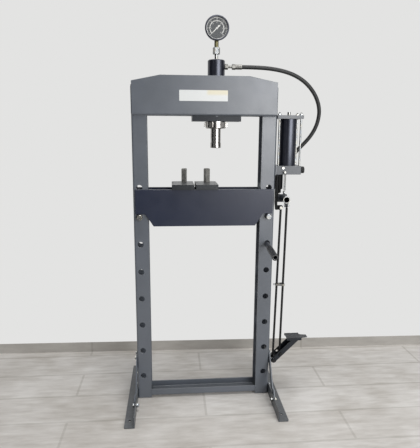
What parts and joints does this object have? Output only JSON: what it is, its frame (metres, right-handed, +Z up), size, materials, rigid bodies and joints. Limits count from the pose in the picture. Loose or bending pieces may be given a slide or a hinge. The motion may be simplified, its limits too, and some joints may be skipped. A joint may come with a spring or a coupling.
{
  "type": "hydraulic workshop press",
  "caption": "Floor-standing hydraulic workshop press with an H-frame, height-set bed on pins, sliding cylinder with pressure gauge, and a pump worked by hand lever or pedal",
  "frame": {"origin": "on the floor, at the centre of the rectangle of the four floor anchor holes", "axes": "+Z up; +X to the right as the operator faces the press, towards the pump; +Y away from the operator"},
  "size_m": [0.8743, 0.53, 1.696],
  "materials": {
    "frame_paint": "satin anthracite",
    "gloss_black": "gloss",
    "black_oxide": "satin",
    "zinc": "bright zinc",
    "bright_steel": "ground",
    "hose_rubber": "satin",
    "grip_rubber": "matt",
    "handle_steel": "satin",
    "dial_black": "printed",
    "needle_white": "satin",
    "clear_glass": "clear"
  },
  "bodies": {
    "frame": {"upright_left": "frame_paint", "upright_right": "frame_paint", "head_beam_front": "frame_paint", "head_beam_rear": "frame_paint", "bed_plate_front": "frame_paint", "bed_plate_rear": "frame_paint", "bed_spacers": "frame_paint", "bed_pin_left": "zinc", "bed_pin_right": "zinc", "base_crossbar": "frame_paint", "foot_left": "frame_paint", "foot_right": "frame_paint", "braces_left": "frame_paint", "braces_right": "frame_paint", "bolts_left": "zinc", "bolts_right": "zinc", "press_block_left": "frame_paint", "press_block_right": "frame_paint", "press_post_left": "frame_paint", "press_post_right": "frame_paint", "hose": "hose_rubber", "pump_elbow": "zinc", "pump_mount_plate": "frame_paint", "pump_block": "frame_paint", "reservoir": "gloss_black", "pump_top_plate": "frame_paint", "tie_rods": "zinc", "breather_cap": "zinc", "pump_plugs": "zinc", "pump_barrel": "gloss_black", "lever_bracket": "frame_paint", "bracket_bolts": "zinc", "return_spring": "zinc", "stay_rod": "black_oxide", "rod_clip": "zinc", "pedal_bracket": "zinc", "pedal_pivot_bolt": "zinc", "stored_handle": "handle_steel", "handle_grip": "grip_rubber"},
    "carriage": {"carriage_slab": "frame_paint", "saddle_plate": "frame_paint", "cylinder": "gloss_black", "ring_nut": "bright_steel", "gauge_pipe": "zinc", "gauge_coupling": "zinc", "gauge_case": "gloss_black", "gauge_dial": "dial_black", "gauge_bezel": "gloss_black", "gauge_glass": "clear_glass", "cylinder_fitting": "zinc"},
    "ram_body": {"ram": "bright_steel", "ram_cap": "bright_steel"},
    "needle_body": {"gauge_needle": "needle_white"},
    "lever_body": {"pump_lever": "frame_paint", "lever_pins": "zinc"},
    "plunger_body": {"plunger": "bright_steel"},
    "push_rod_body": {"push_rod": "black_oxide"},
    "pedal_body": {"pedal_arm": "frame_paint", "pedal_tread": "frame_paint"},
    "knob_body": {"release_knob": "black_oxide"}
  },
  "joints": [
    {"name": "carriage_slide", "type": "slide", "parent": "frame", "child": "carriage", "axis": [1, 0, 0], "range_m": [-0.188, 0.09], "deforming": ["hose"]},
    {"name": "ram_slide", "type": "slide", "parent": "carriage", "child": "ram_body", "axis": [0, 0, -1], "range_m": [0, 0.15], "stiffness_N_per_m": 400, "springref_m": -0.15},
    {"name": "gauge_needle_turn", "type": "hinge", "parent": "carriage", "child": "needle_body", "pos_m": [0.049, -0.0135, 1.646], "axis": [0, 1, 0], "range_deg": [0, 270], "stiffness_Nm_per_rad": 0.002, "springref_deg": -17.19},
    {"name": "pump_lever_turn", "type": "hinge", "parent": "frame", "child": "lever_body", "pos_m": [0.332, -0.028, 0.937], "axis": [1, 0, 0], "range_deg": [0, 30], "stiffness_Nm_per_rad": 4, "springref_deg": -34.38, "deforming": ["return_spring"]},
    {"name": "plunger_slide", "type": "slide", "parent": "frame", "child": "plunger_body", "axis": [0, 0, 1], "range_m": [0, 0.016]},
    {"name": "push_rod_turn", "type": "hinge", "parent": "lever_body", "child": "push_rod_body", "pos_m": [0.3576, -0.066, 0.917], "axis": [1, 0, 0], "range_deg": [-32, 0]},
    {"name": "pedal_turn", "type": "hinge", "parent": "frame", "child": "pedal_body", "pos_m": [0.329, -0.022, 0.174], "axis": [0, 1, 0], "range_deg": [0, 20.5]},
    {"name": "release_valve_turn", "type": "hinge", "parent": "frame", "child": "knob_body", "pos_m": [0.421, -0.015, 1.06575], "axis": [1, 0, 0], "range_deg": [0, 180]}
  ],
  "couplings": [
    {"joint": "plunger_slide", "follows": "pump_lever_turn", "m_per_rad": 0.02775},
    {"joint": "push_rod_turn", "follows": "pump_lever_turn", "ratio": -1.0405},
    {"joint": "pedal_turn", "follows": "pump_lever_turn", "ratio": 0.672}
  ]
}
